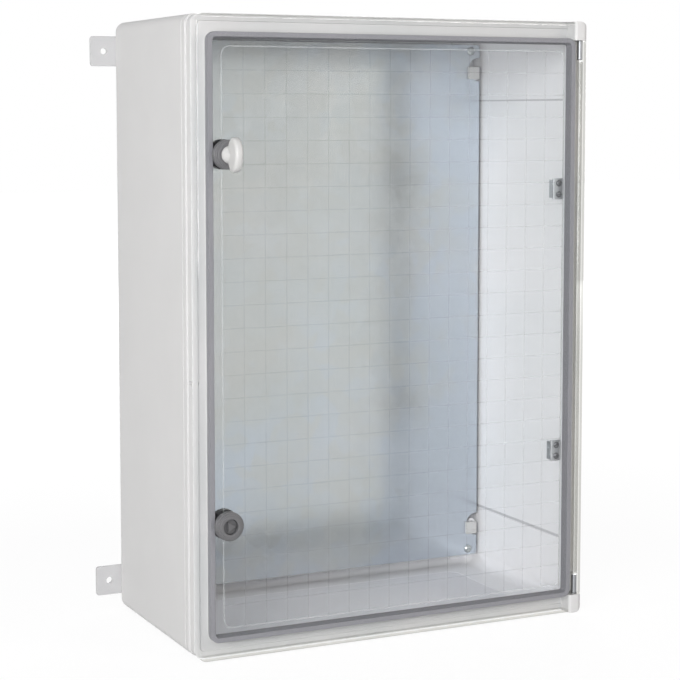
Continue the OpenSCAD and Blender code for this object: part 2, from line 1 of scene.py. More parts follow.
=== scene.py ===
"""Models and finishes a wall-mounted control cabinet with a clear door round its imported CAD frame."""

import math
from types import SimpleNamespace

import bmesh
import bpy
from mathutils import Matrix, Vector


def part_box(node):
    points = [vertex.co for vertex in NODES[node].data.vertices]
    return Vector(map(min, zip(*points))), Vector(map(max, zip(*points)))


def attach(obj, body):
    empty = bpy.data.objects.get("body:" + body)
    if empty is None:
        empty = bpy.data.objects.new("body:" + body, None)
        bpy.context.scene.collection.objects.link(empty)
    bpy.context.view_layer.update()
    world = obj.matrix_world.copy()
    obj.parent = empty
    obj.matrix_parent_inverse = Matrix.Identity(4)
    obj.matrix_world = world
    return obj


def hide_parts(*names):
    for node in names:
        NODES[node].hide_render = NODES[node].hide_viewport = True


bl_info = {
    "name": "Control Cabinet",
    "version": (1, 0, 0),
    "blender": (4, 5, 0),
    "location": "View3D > Sidebar > Cabinet",
    "description": "Models and finishes a wall cabinet with a clear door round its CAD frame",
    "category": "Object",
}

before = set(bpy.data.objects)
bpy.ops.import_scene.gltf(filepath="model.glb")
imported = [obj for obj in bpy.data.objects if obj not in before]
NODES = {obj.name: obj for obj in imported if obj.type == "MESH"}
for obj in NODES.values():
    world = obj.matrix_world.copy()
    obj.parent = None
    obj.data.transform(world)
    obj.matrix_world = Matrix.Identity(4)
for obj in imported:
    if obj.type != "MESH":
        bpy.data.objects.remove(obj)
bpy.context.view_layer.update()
MM = 0.001

ENDS = ("upper", "lower")
WALL_BRACKETS = [f"{end}_{side}_wall_bracket" for end in ENDS for side in ("left", "right")]
RIM_BRACKETS = [f"{end}_rim_bracket" for end in ENDS]
LOCK_HOUSINGS = [f"{end}_lock_housing" for end in ENDS]

BODY_LOW, BODY_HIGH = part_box("enclosure_body")
# Depths count from the door's front face, in millimetres.
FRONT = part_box("door_panel")[0].y
MID_Z = (BODY_LOW.z + BODY_HIGH.z) / 2 / MM

# How far the plate's screws and the clips' feet lie inside the corners of their nodes, across and up
PLATE_SCREW_IN = (9.2, 5.5)
CLIP_FOOT_IN = (3, 8.4)

# Height of the hinge lugs, and the gap between a lug and the door's knuckle, in millimetres
LUG_HEIGHT = 15.6
LUG_GAP = 0.3
# Depth at which the slope behind the body's sealing lip ends
SLOPE_BACK = 33
# Thickness of the rim brackets
SHEET = 1.2

# Turns what stands upright to lie along the depth
LYING = Matrix.Rotation(math.radians(90), 4, "X")

ROUND_STEPS = 48
CORNER_STEPS = 8
# Faces that meet at less than this angle are shaded as one.
SMOOTH_ANGLE = math.radians(35)


def linear(code):
    """The linear colour of an sRGB hex value."""
    parts = [int(code[i : i + 2], 16) / 255 for i in (1, 3, 5)]
    return tuple(c / 12.92 if c <= 0.04045 else ((c + 0.055) / 1.055) ** 2.4 for c in parts) + (1.0,)


def per_mm(size):
    """The texture scale whose pattern repeats about every size millimetres."""
    return 1 / (size * MM)


def deep(point):
    """A point of the frame as millimetres, with its depth behind the door's front face."""
    return Vector((point[0] / MM, (point[1] - FRONT) / MM, point[2] / MM))


def node_box(name):
    """The lowest and highest corner of a CAD node in cabinet millimetres."""
    low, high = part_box(name)
    return deep(low), deep(high)


def node_middle(name):
    """The middle of a CAD node, across and up the cabinet."""
    low, high = node_box(name)
    return (low.x + high.x) / 2, (low.z + high.z) / 2


def corners_in(name, in_x, in_z):
    """The four places that lie so far inside the corners of a CAD node, across and up."""
    low, high = node_box(name)
    return [(x, z) for x in (low.x + in_x, high.x - in_x) for z in (low.z + in_z, high.z - in_z)]


# Sizes and colours


def length(name, description, value):
    return bpy.props.FloatProperty(name=name, description=description, default=value * MM, unit="LENGTH")


def colour(name, description, code):
    return bpy.props.FloatVectorProperty(
        name=name, description=description, default=linear(code), size=4, min=0, max=1, subtype="COLOR"
    )


class CabinetSizes(bpy.types.PropertyGroup):
    width: length("Width", "Outside width of the body", (BODY_HIGH.x - BODY_LOW.x) / MM)
    height: length("Height", "Outside height of the body", (BODY_HIGH.z - BODY_LOW.z) / MM)
    depth: length("Depth", "From the door's front face to the wall", (BODY_HIGH.y - FRONT) / MM)
    wall: length("Wall", "Wall thickness of the body", 3.5)
    edge: length("Edge radius", "Radius of the body's outer edges", 8)
    corner: length("Corner radius", "Radius of the body's inside corners", 11)
    fillet: length("Back fillet", "Radius of the fillet at the back of the inside", 10)
    skirt: length("Skirt", "Thickness of the door's skirt", 2.6)
    panel: length("Panel", "Thickness of the clear panel", 3)
    barrel: length("Barrel", "Radius of the hinge barrel", 5.2)
    grid_pitch: length("Grid pitch", "Distance between the lines on the door", 18)
    grid_line: length("Grid line", "Width of a line on the door", 0.8)
    grid_corner: length("Grid corner", "Radius of the grid's corners", 7)


class CabinetColours(bpy.types.PropertyGroup):
    body: colour("Body", "Light grey of the moulded body", "#CECECE")
    # Painted light: the inside is the body's own plastic, drawn in a lighter grey so that it looks
    # brighter.
    inside: colour("Body inside", "Lighter grey of the polished inside", "#E3E3E5")
    floor_panel: colour("Entry panels", "Matt grey of the panels in the floor and ceiling", "#DDDDE1")
    bracket: colour("Wall brackets", "Light grey of the wall brackets", "#BFBFC0")
    gasket: colour("Gasket skin", "Grey of the gasket's bonded skin", "#86868B")
    foam: colour("Gasket foam", "Dark grey of the gasket's open side", "#727277")
    lock: colour("Locks", "Dark grey of the locks", "#646466")
    key: colour("Key", "White of the wing key and the plate clips", "#C2C2C1")
    zinc: colour("Zinc", "Plating of the cams and screws", "#B9BEBF")


# Meshes, in cabinet millimetres


def block(bm, x0, x1, d0, d1, z0, z1):
    """Adds a block between two depths."""
    verts = bmesh.ops.create_cube(bm, size=1)["verts"]
    bmesh.ops.scale(bm, vec=(x1 - x0, d1 - d0, z1 - z0), verts=verts)
    bmesh.ops.translate(bm, vec=((x0 + x1) / 2, (d0 + d1) / 2, (z0 + z1) / 2), verts=verts)
    return verts


def bar(bm, radius, size, place):
    """Adds a round bar of a length, turned and moved by a matrix from the upright."""
    bmesh.ops.create_cone(
        bm, cap_ends=True, segments=ROUND_STEPS, radius1=radius, radius2=radius, depth=size, matrix=place
    )


def rod(bm, x, z, radius, d0, d1):
    """Adds a round bar along the depth."""
    bar(bm, radius, d1 - d0, Matrix.Translation((x, (d0 + d1) / 2, z)) @ LYING)


def upright(bm, x, depth, radius, z0, z1):
    """Adds a round bar along the height."""
    bar(bm, radius, z1 - z0, Matrix.Translation((x, depth, (z0 + z1) / 2)))


def edge_middle(edge):
    return (edge.verts[0].co + edge.verts[1].co) / 2


def edges_of(verts):
    return {e for v in verts for e in v.link_edges}


def edges_along(verts, axis, passes=lambda middle: True):
    """The edges of these vertices that run along an axis, and whose middle passes a test."""
    found = []
    for edge in edges_of(verts):
        run = edge.verts[1].co - edge.verts[0].co
        if abs(run[axis]) > 0.99 * run.length and passes(edge_middle(edge)):
            found.append(edge)
    return found


def edges_at_depth(verts, depth, passes=lambda middle: True):
    """The edges of these vertices that lie at a depth, and whose middle passes a test."""
    level = [e for e in edges_of(verts) if all(abs(v.co.y - depth) < 1e-3 for v in e.verts)]
    return [e for e in level if passes(edge_middle(e))]


def sharp_edges(bm, degrees=40):
    return [e for e in bm.edges if e.is_manifold and e.calc_face_angle() > math.radians(degrees)]


def round_over(bm, geom, radius, steps=3, clamp=True, affect="EDGES"):
    """Rounds edges or vertices over, and returns the new faces' vertices."""
    return bmesh.ops.bevel(
        bm, geom=geom, offset=radius, offset_type="OFFSET", segments=steps, profile=0.5,
        affect=affect, clamp_overlap=clamp, material=-1,
    )["verts"]


def round_some(bm, verts, edges, radius, steps):
    """Rounds edges of these vertices over, and returns the vertices that are then there."""
    made = round_over(bm, edges, radius, steps)
    return [v for v in {*verts, *made} if v.is_valid]


def rounded_plate(bm, x0, x1, d0, d1, z0, z1, radius, edge, steps=CORNER_STEPS):
    """Adds a plate across the cabinet with round corners and softened edges."""
    verts = block(bm, x0, x1, d0, d1, z0, z1)
    verts = round_some(bm, verts, edges_along(verts, 1), radius, steps)
    rims = edges_at_depth(verts, d0) + edges_at_depth(verts, d1)
    round_over(bm, rims, edge, 2)


def ring(bm, width, height, radius, depth):
    """Adds a rounded rectangle of edges across the cabinet."""
    verts = bmesh.ops.create_grid(bm, x_segments=1, y_segments=1, size=0.5)["verts"]
    bmesh.ops.scale(bm, vec=(width, height, 1), verts=verts)
    bmesh.ops.transform(bm, matrix=Matrix.Translation((0, depth, MID_Z)) @ LYING, verts=verts)
    verts = round_over(bm, verts, radius, CORNER_STEPS, False, "VERTICES")
    face = verts[0].link_faces[0]
    edges = list(face.edges)
    bmesh.ops.delete(bm, geom=[face], context="FACES_ONLY")
    return edges


def loft(bm, sections, closed=False):
    """Bridges rounded rectangles, given as width, height, radius, depth and edge rounding, in order."""
    # The rings are bridged a step apart and moved to their depths afterwards, so that no bridge twists.
    rings = [ring(bm, *section[:3], order) for order, section in enumerate(sections)]
    pairs = list(zip(rings, rings[1:]))
    if closed:
        pairs.append((rings[-1], rings[0]))
    for one, other in pairs:
        bmesh.ops.bridge_loops(bm, edges=one + other)
    if not closed:
        for end in (rings[0], rings[-1]):
            bmesh.ops.contextual_create(bm, geom=end)
    for order, (edges, section) in enumerate(zip(rings, sections)):
        verts = {v for e in edges for v in e.verts}
        bmesh.ops.translate(bm, vec=(0, section[3] - order, 0), verts=list(verts))
    bmesh.ops.recalc_face_normals(bm, faces=bm.faces)
    for edges, section in zip(rings, sections):
        if section[4]:
            round_over(bm, edges, section[4])


def turned(bm, outline, x, z, rounding, steps=64, closed=True):
    """Spins an outline of radius and depth about a line along the depth."""
    verts = [bm.verts.new((x + radius, depth, z)) for radius, depth in outline]
    pairs = list(zip(verts, verts[1:])) + ([(verts[-1], verts[0])] if closed else [])
    for pair in pairs:
        bm.edges.new(pair)
    corners = verts if closed else verts[1:-1]
    made = round_over(bm, corners, rounding, affect="VERTICES")
    profile = {v for v in made if v.is_valid} | {v for v in verts if v.is_valid}
    wires = {e for e in edges_of(profile) if e.is_wire}
    bmesh.ops.spin(
        bm, geom=[*profile, *wires], cent=(x, 0, z), axis=(0, 1, 0), dvec=(0, 0, 0),
        angle=math.tau, steps=steps, use_merge=True, use_normal_flip=False, use_duplicate=False,
    )
    bmesh.ops.remove_doubles(bm, verts=bm.verts, dist=1e-4)
    bmesh.ops.recalc_face_normals(bm, faces=bm.faces)


def carve(bm, tools, operation="DIFFERENCE"):
    """Cuts solids out of a solid one after the other, or adds them to it."""
    collection = bpy.context.scene.collection
    objects = []
    for solid in (bm, *tools):
        mesh = bpy.data.meshes.new("solid")
        solid.to_mesh(mesh)
        objects.append(bpy.data.objects.new("solid", mesh))
        collection.objects.link(objects[-1])
    for tool in objects[1:]:
        cut = objects[0].modifiers.new("Cut", "BOOLEAN")
        cut.operation = operation
        cut.solver = "EXACT"
        cut.object = tool
    graph = bpy.context.evaluated_depsgraph_get()
    result = bpy.data.meshes.new_from_object(objects[0].evaluated_get(graph))
    if not result.polygons:
        raise RuntimeError("a cut left nothing of the solid")
    bm.clear()
    bm.from_mesh(result)
    bpy.data.meshes.remove(result)
    for used in objects:
        bpy.data.meshes.remove(used.data)
    for tool in tools:
        tool.free()
    bmesh.ops.remove_doubles(bm, verts=bm.verts, dist=1e-4)


def join(bm, solid):
    """Moves a finished solid into a mesh."""
    mesh = bpy.data.meshes.new("solid")
    solid.to_mesh(mesh)
    solid.free()
    bm.from_mesh(mesh)
    bpy.data.meshes.remove(mesh)


def screw(bm, x, z, seat, head_r, head_t, shank_r, shank):
    """Adds a pan-head screw with a slot, whose head stands in front of its seat."""
    face, shoulder, tip = seat - head_t, seat - head_t * 0.45, seat + shank
    point, slot_half = 1.2, 0.5
    one = bmesh.new()
    turned(
        one,
        [(0, face), (head_r * 0.55, face), (head_r, shoulder), (head_r, seat), (shank_r, seat),
         (shank_r, tip - point), (shank_r * 0.4, tip), (0, tip)],
        x, z, 0.3, 32, False,
    )
    slot = bmesh.new()
    block(slot, x - head_r - 1, x + head_r + 1, face - 1, shoulder, z - slot_half, z + slot_half)
    carve(one, [slot])
    join(bm, one)


def piece(name, bm, body, materials, replaces=(), melt=0):
    """Turns a mesh in cabinet millimetres into a finished piece that rides on a body.

    A piece with a melt size is remeshed that finely and smoothed, so that its forms run into each other.
    """
    place = Matrix.Translation((0, FRONT, 0)) @ Matrix.Scale(MM, 4)
    bmesh.ops.transform(bm, matrix=place, verts=bm.verts)
    mesh = bpy.data.meshes.new(name)
    bm.to_mesh(mesh)
    bm.free()
    for material in materials:
        mesh.materials.append(material)
    mesh.shade_smooth()
    mesh.set_sharp_from_angle(angle=SMOOTH_ANGLE)
    made = bpy.data.objects.new(name, mesh)
    bpy.context.scene.collection.objects.link(made)
    if melt:
        skin = made.modifiers.new("One skin", "REMESH")
        skin.mode = "VOXEL"
        skin.voxel_size = melt * MM
        skin.use_smooth_shade = True
        soft = made.modifiers.new("Soft blend", "SMOOTH")
        soft.factor = 0.5
        soft.iterations = 12
    made.modifiers.new("Even shading", "WEIGHTED_NORMAL").keep_sharp = not melt
    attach(made, body)
    if replaces:
        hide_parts(*replaces)


def finish_node(name, material):
    """Gives a CAD node that stays a finished material."""
    slots = NODES[name].data.materials
    slots.clear()
    slots.append(material)


# Materials


def add(tree, kind, settings=(), links=()):
    """Adds a shader node of a kind, sets its properties and inputs, and links its inputs.

    A link from a node itself takes that node's first output.
    """
    node = tree.nodes.new(f"ShaderNode{kind}")
    for name, value in dict(settings).items():
        if isinstance(name, str) and hasattr(node, name):
            setattr(node, name, value)
        else:
            node.inputs[name].default_value = value
    for name, source in dict(links).items():
        output = source.outputs[0] if isinstance(source, bpy.types.Node) else source
        tree.links.new(output, node.inputs[name])
    return node


def places(tree):
    """Places on the piece itself, in metres."""
    return add(tree, "TexCoord").outputs["Object"]


def noise(tree, place, size, detail):
    """A noise whose pattern repeats about every size millimetres."""
    return add(tree, "TexNoise", {"Scale": per_mm(size), "Detail": detail}, {"Vector": place})


def ranged(tree, value, low, high, first=0.0, last=1.0):
    """A value that runs from low to high while its source runs from first to last."""
    ends = {"From Min": first, "From Max": last, "To Min": low, "To Max": high}
    return add(tree, "MapRange", ends, {"Value": value})


def ramp(tree, value, *stops):
    """A colour from a value, by stops of position and colour."""
    node = add(tree, "ValToRGB", (), {"Fac": value})
    ends = node.color_ramp.elements
    while len(ends) < len(stops):
        ends.new(0.5)
    for end, (position, shade) in zip(ends, stops):
        end.position = position
        end.color = shade
    return node


def tinted(shade, share):
    """A colour made lighter or darker by a share."""
    return tuple(min(1.0, c * share) for c in shade[:3]) + (1.0,)


def as_material(build):
    """Turns a function that builds a shader into one that makes a material of a name, once."""

    def make(name, *settings):
        made = bpy.data.materials.get(name)
        if not made:
            made = bpy.data.materials.new(name)
            made.use_nodes = True
            tree = made.node_tree
            tree.nodes.clear()
            add(tree, "OutputMaterial", (), {"Surface": build(tree, *settings)})
        return made

    return make


@as_material
def moulded_plastic(tree, shade, roughness, grain, depth, spread=0.015):
    """An injection-moulded plastic.

    The tool's spark-eroded grain breaks up the gloss, and the flow of the melt leaves faint clouds.
    The grain is drawn two to four times as coarse as the real 0.3 mm, so that it shows.
    """
    place = places(tree)
    cloud = noise(tree, place, 55, 3)
    base = ramp(tree, cloud, (0.3, tinted(shade, 1 - spread)), (0.7, tinted(shade, 1 + spread)))
    bite = noise(tree, place, grain, 2)
    rough = ranged(tree, bite, roughness - 0.06, roughness + 0.06)
    bump = add(tree, "Bump", {"Strength": 0.35, "Distance": depth * MM}, {"Height": bite})
    skin = {"Base Color": base, "Roughness": rough, "Normal": bump}
    return add(tree, "BsdfPrincipled", {"IOR": 1.53}, skin)


@as_material
def clear_polycarbonate(tree, dark, pale, glance):
    """Clear moulded polycarbonate, which shows what is behind it unbent through a tint; a darker tint
    paints the shade that refraction draws at an edge.

    It mirrors a few hundredths of the light straight on, and up to the glance share at a slant.
    """
    flow = noise(tree, places(tree), 90, 2)
    tint = ramp(tree, flow, (0.3, linear(dark)), (0.7, linear(pale)))
    through = add(tree, "BsdfTransparent", (), {"Color": tint})
    mirror = add(tree, "BsdfGlossy", {"Roughness": 0.03})
    slant = add(tree, "LayerWeight", {"Blend": 0.5}).outputs["Facing"]
    rise = add(tree, "Math", {"operation": "POWER", 1: 5.0}, {0: slant})
    share = ranged(tree, rise, 0.028, glance)
    return add(tree, "MixShader", (), {0: share, 1: through, 2: mirror})


@as_material
def frosted_line(tree, dark, pale, cover):
    """Fine matt lines moulded in the clear panel, which veil a little of what is behind them."""
    bite = noise(tree, places(tree), 24, 2)
    veil = ramp(tree, bite, (0.35, linear(dark)), (0.65, linear(pale)))
    look = {"Roughness": 0.6, "IOR": 1.586, "Alpha": cover}
    return add(tree, "BsdfPrincipled", look, {"Base Color": veil})


@as_material
def foam(tree, shade):
    """Closed-cell polyurethane foam: matt and finely pitted.

    Its cells of about half a millimetre are drawn 1.2 mm wide, so that they show.
    """
    cells = add(tree, "TexVoronoi", {"Scale": per_mm(1.2)}, {"Vector": places(tree)})
    base = ramp(tree, cells, (0.0, tinted(shade, 0.86)), (0.6, tinted(shade, 1.06)))
    bump = add(tree, "Bump", {"Strength": 0.3, "Distance": 0.15 * MM}, {"Height": cells})
    look = {"Roughness": 0.85, "IOR": 1.45}
    return add(tree, "BsdfPrincipled", look, {"Base Color": base, "Normal": bump})


@as_material
def galvanised_sheet(tree):
    """Hot-dip galvanised sheet: zinc crystals of 8 to 20 mm, each with its own tone and gloss.

    The bath leaves broad clouds that run from grey-green to blue-grey.
    The turn to blue-grey towards the right and the bottom is painted light and shade.
    """
    place = places(tree)
    sway = noise(tree, place, 20, 3)
    bend = {"operation": "MULTIPLY_ADD", 1: (0.012, 0.012, 0.012)}
    bent = add(tree, "VectorMath", bend, {0: sway.outputs["Color"], 2: place})
    crystal = add(tree, "TexVoronoi", {"Scale": per_mm(15)}, {"Vector": bent})
    facet = add(tree, "SeparateColor", (), {"Color": crystal.outputs["Color"]})
    cloud = noise(tree, place, 110, 4)
    spot = add(tree, "SeparateXYZ", (), {"Vector": place})
    # Painted light and shade: the tone turns blue-grey towards the right and the bottom.
    right = ranged(tree, spot.outputs["X"], 0.06, -0.22, 40 * MM, 120 * MM)
    painted_shade_at_foot = ranged(tree, spot.outputs["Z"], -0.22, 0.0, 60 * MM, 170 * MM)
    tone = add(tree, "Math", {"operation": "MULTIPLY_ADD", 1: 0.2}, {0: facet.outputs["Red"], 2: cloud})
    for painted_light_and_shade in (right, painted_shade_at_foot):
        tone = add(tree, "Math", {"operation": "ADD"}, {0: tone, 1: painted_light_and_shade})
    base = ramp(tree, tone, (0.3, linear("#BCC4CD")), (0.55, linear("#BEC2C3")), (0.8, linear("#BDBFBD")))
    rough = ranged(tree, facet.outputs["Green"], 0.18, 0.25)
    bump = add(tree, "Bump", {"Strength": 0.06, "Distance": 0.1 * MM}, {"Height": crystal})
    skin = {"Base Color": base, "Roughness": rough, "Normal": bump}
    return add(tree, "BsdfPrincipled", {"Metallic": 0.8}, skin)


@as_material
def plated_steel(tree, shade, roughness):
    """Plated steel: a satin metal with a faint mottle of about 3 mm in its passivation."""
    mottle = noise(tree, places(tree), 3, 3)
    base = ramp(tree, mottle, (0.3, tinted(shade, 0.9)), (0.7, tinted(shade, 1.08)))
    rough = ranged(tree, mottle, roughness - 0.08, roughness + 0.08)
    return add(tree, "BsdfPrincipled", {"Metallic": 1.0}, {"Base Color": base, "Roughness": rough})


def seen(tree):
    """One for what the camera sees, straight, mirrored or through glass, and nought for light."""
    light = add(tree, "LightPath")
    shown = light.outputs["Is Camera Ray"]
    for ray in ("Is Glossy Ray", "Is Transmission Ray"):
        shown = add(tree, "Math", {"operation": "MAXIMUM"}, {0: shown, 1: light.outputs[ray]})
    return shown


@as_material
def pale_floor(tree):
    """A matt floor with a glow that leaves a faint shadow.

    The glow makes up for the lamps' fall-off, so that the floor runs into the backdrop unseen.
    """
    share = add(tree, "Math", {"operation": "MULTIPLY", 1: 0.8}, {0: seen(tree)})
    away = add(tree, "VectorMath", {"operation": "LENGTH"}, {0: places(tree)})
    glow = ranged(tree, away.outputs["Value"], 1.13, 1.27, 0.4, 2.2)
    matt = add(tree, "BsdfDiffuse", {"Color": (0.6, 0.6, 0.6, 1)})
    white = add(tree, "Emission", {"Color": (1, 1, 1, 1)}, {"Strength": glow})
    return add(tree, "MixShader", (), {0: share, 1: matt, 2: white})


def white_plastic(colours):
    return moulded_plastic("Moulded white ABS", colours.key, 0.38, 0.9, 0.04, 0.02)


def zinc_steel(colours):
    return plated_steel("Zinc-plated steel", colours.zinc, 0.34)


# Pieces


def sizes_of(context):
    """The sizes in millimetres."""
    group = context.scene.cabinet_sizes
    return SimpleNamespace(**{name: getattr(group, name) / MM for name in CabinetSizes.__annotations__})


class CABINET_OT_body(bpy.types.Operator):
    """Model the moulded body with its rim, gutter, sealing lip, hinge lugs and bosses"""

    bl_idname = "cabinet.body"
    bl_label = "Moulded Body"

    def execute(self, context):
        s = sizes_of(context)
        colours = context.scene.cabinet_colours
        low, high = node_box("door_gasket")
        lip_in = 1.45
        lip_w, lip_h = high.x - low.x - 2 * lip_in, high.z - low.z - 2 * lip_in
        bm = bmesh.new()
        room_w, room_h = s.width - 2 * s.wall, s.height - 2 * s.wall
        back = self.rounded_end(s.width, s.height, s.edge, s.edge, s.depth)
        room = self.rounded_end(room_w, room_h, s.corner, s.fillet, s.depth - s.wall)
        loft(bm, back + self.front(s, lip_w, lip_h) + room[::-1])
        carve(bm, [self.bosses(s), self.bracket_bosses(s)], "UNION")
        carve(bm, [self.recesses(s), self.pockets()])
        for face in bm.faces:
            face.material_index = self.finish_of(face, s, lip_w / 2 - 2, lip_h / 2 - 2)
        outside = moulded_plastic("Moulded light grey ABS", colours.body, 0.56, 0.9, 0.05)
        # Painted light: the inside and the gutter round the lip use a lighter copy of the body's grey.
        inside = moulded_plastic("Polished light grey ABS", colours.inside, 0.4, 0.9, 0.03)
        panels = moulded_plastic("Matt grey ABS panel", colours.floor_panel, 0.6, 1.2, 0.08)
        # Painted shade: each wall line's faces take a darkened copy of the panel grey, for the shade in its
        # steps.
        painted_shade_grooves = moulded_plastic("Matt grey ABS groove", tinted(colours.floor_panel, 0.7), 0.7, 1.2, 0.05)
        finishes = [outside, inside, panels, painted_shade_grooves]
        piece("moulded_body", bm, "cabinet", finishes, ["enclosure_body"])
        return {"FINISHED"}

    def rounded_end(self, width, height, corner, radius, end):
        """The sections of an edge rounded by a radius, from the end's depth forwards."""
        sections = []
        for degrees in range(0, 91, 15):
            turn = math.radians(degrees)
            inset = radius * (1 - math.sin(turn))
            depth = end - radius * (1 - math.cos(turn))
            sections.append((width - 2 * inset, height - 2 * inset, max(corner - inset, 0.05), depth, 0))
        return sections

    def front(self, s, lip_w, lip_h):
        """The fine line behind the rim, the rim, its neck and flange, the gutter and the sealing lip."""
        line_back, line_front = 30.4, 29.2
        rim_front, neck_front, flange_front = 22.5, 20.5, 12.6
        gutter_floor, lip_front, lip_root = 13.4, 9.9, 13
        line_in, neck_in, flange_in = 0.6, 1.3, 0.8
        gutter_in, gutter_foot_in = 5.6, 5.9
        gutter_r, gutter_foot_r = s.edge - 4, s.edge - 4.3
        lip_wall, lip_r = 2.6, 5

        def outside(inset, depth, rounding=0):
            return s.width - 2 * inset, s.height - 2 * inset, s.edge - inset, depth, rounding

        lip_inner = (lip_w - 2 * lip_wall, lip_h - 2 * lip_wall, lip_r - lip_wall)
        return [
            outside(0, line_back, 0.2),
            outside(line_in, line_back),
            outside(line_in, line_front),
            outside(0, line_front, 0.2),
            outside(0, rim_front, 0.3),
            outside(neck_in, rim_front, 0.2),
            outside(neck_in, neck_front, 0.2),
            outside(flange_in, neck_front, 0.3),
            outside(flange_in, flange_front, 0.6),
            (s.width - 2 * gutter_in, s.height - 2 * gutter_in, gutter_r, flange_front, 0.3),
            (s.width - 2 * gutter_foot_in, s.height - 2 * gutter_foot_in, gutter_foot_r, gutter_floor, 0),
            (lip_w, lip_h, lip_r, gutter_floor, 0),
            (lip_w, lip_h, lip_r, lip_front, 0.5),
            (*lip_inner, lip_front, 0.7),
            (*lip_inner, lip_root, 0),
            (s.width - 2 * s.wall, s.height - 2 * s.wall, s.corner, SLOPE_BACK, 0),
        ]

    def finish_of(self, face, s, reach_x, reach_z):
        """The finish of a face: 0 grained outside, 1 polished inside, lighter as painted light, 2 entry
        panels, 3 wall lines, darker as painted shade.
        """
        middle = face.calc_center_median()
        near = middle + face.normal * 0.5
        across, up = abs(near.x), abs(near.z - MID_Z)
        inside_x, inside_z = s.width / 2 - s.wall, s.height / 2 - s.wall
        rim_back, lip_tip, deepest, sunk = 22, 9, 0.9, 0.05
        if near.y < rim_back:
            # Faces round the lip take the lighter inside grey, which is painted light.
            return int(across < reach_x and up < reach_z and near.y > lip_tip)
        if across > inside_x + deepest or up > inside_z + deepest or near.y > s.depth - s.wall + 0.1:
            return 0
        # Wall-line faces take a darkened copy of the panel grey, as painted shade.
        if abs(middle.x) > inside_x + sunk:
            return 3
        return 2 if abs(middle.z - MID_Z) > inside_z + sunk else 1

    def lugs(self, s):
        """The hinge lugs, rounded like the door's barrel and cut to the body's corner."""
        bm = bmesh.new()
        # The lugs stay a hair inside the rim, so that no two faces coincide where they join it.
        hair = 0.05
        side = s.width / 2 - hair
        inner_side, lug_back = s.width / 2 - 12.8, 24
        for outer, inner in ((hair, LUG_HEIGHT), (s.height - hair, s.height - LUG_HEIGHT)):
            z0, z1 = min(outer, inner), max(outer, inner)
            lug, outline = bmesh.new(), bmesh.new()
            verts = block(lug, inner_side, side, 0, lug_back, z0, z1)
            barrel = edges_along(verts, 2, lambda m: m.y < 1 and m.x > side - 1)
            verts = round_some(lug, verts, barrel, s.barrel - hair, 8)
            round_over(lug, edges_along(verts, 2, lambda m: m.y < 1 and m.x < inner_side + 1), 2.6, 4)
            verts = block(outline, inner_side - 7, side, -5, lug_back + 6, z0, z1)
            corner = edges_along(verts, 1, lambda m: m.x > side - 1 and abs(m.z - outer) < 1)
            round_over(outline, corner, s.edge - hair, 8)
            carve(lug, [outline], "INTERSECT")
            join(bm, lug)
        return bm

    def bosses(self, s):
        """The hinge lugs, lock catches, bracket pads and plate pillars."""
        bm = self.lugs(s)
        left, back = -s.width / 2, s.depth - s.wall + 1
        catch_half, pad_in, pillar_r = 9, 1.6, 5
        for name in LOCK_HOUSINGS:
            z = node_middle(name)[1]
            block(bm, left + 9, left + 15.2, 13, 20.2, z - catch_half, z + catch_half)
        for name in RIM_BRACKETS:
            low, high = node_box(name)
            block(bm, low.x + SHEET, high.x + 7, high.y - 5.2, 20, low.z + pad_in, high.z - pad_in)
        for name, inset in (("mounting_plate", PLATE_SCREW_IN), ("plate_clips", CLIP_FOOT_IN)):
            for x, z in corners_in(name, *inset):
                rod(bm, x, z, pillar_r, node_box(name)[1].y, back)
        return bm

    def bracket_bosses(self, s):
        """The bosses inside the back wall that the wall brackets are screwed to."""
        bm = bmesh.new()
        half_w, half_h, boss_in, front, back = 12, 16, 15.5, 182.5, 187.5
        for name in WALL_BRACKETS:
            middle_x, z = node_middle(name)
            x = math.copysign(s.width / 2 - boss_in, middle_x)
            verts = block(bm, x - half_w, x + half_w, front, back, z - half_h, z + half_h)
            round_over(bm, edges_along(verts, 1), 2)
        return bm

    def recesses(self, s):
        """The lines inside the walls, the entry panels and the gutter's drain."""
        bm = bmesh.new()
        half, back = s.width / 2 - s.wall, s.depth - s.wall - s.fillet
        groove, panel_half, sunk = 0.8, 138, 0.1
        drain_low, drain_high = 215.5, 218.5
        # Each line's height and half its width
        lines = ((59, 1.3), (435.5, 0.7))
        for side in (-half, half):
            for z, line in lines:
                block(bm, side - groove, side + groove, SLOPE_BACK, back, z - line, z + line)
        for z in (s.wall, s.height - s.wall):
            verts = block(bm, -panel_half, panel_half, 39, 157, z - sunk, z + sunk)
            round_over(bm, edges_along(verts, 2), 10, CORNER_STEPS)
        verts = block(bm, -s.width / 2, -half + 3, 13, 19.4, drain_low, drain_high)
        round_over(bm, edges_along(verts, 0), 1.45, 6)
        return bm

    def pockets(self):
        """The pockets in the back that take the wall brackets."""
        bm = bmesh.new()
        gap, past = 0.3, 5
        for name in WALL_BRACKETS:
            low, high = node_box(name)
            x0, x1 = (low.x - gap, high.x + past) if high.x > 0 else (low.x - past, high.x + gap)
            block(bm, x0, x1, low.y, high.y + past, low.z - gap, high.z + gap)
        return bm


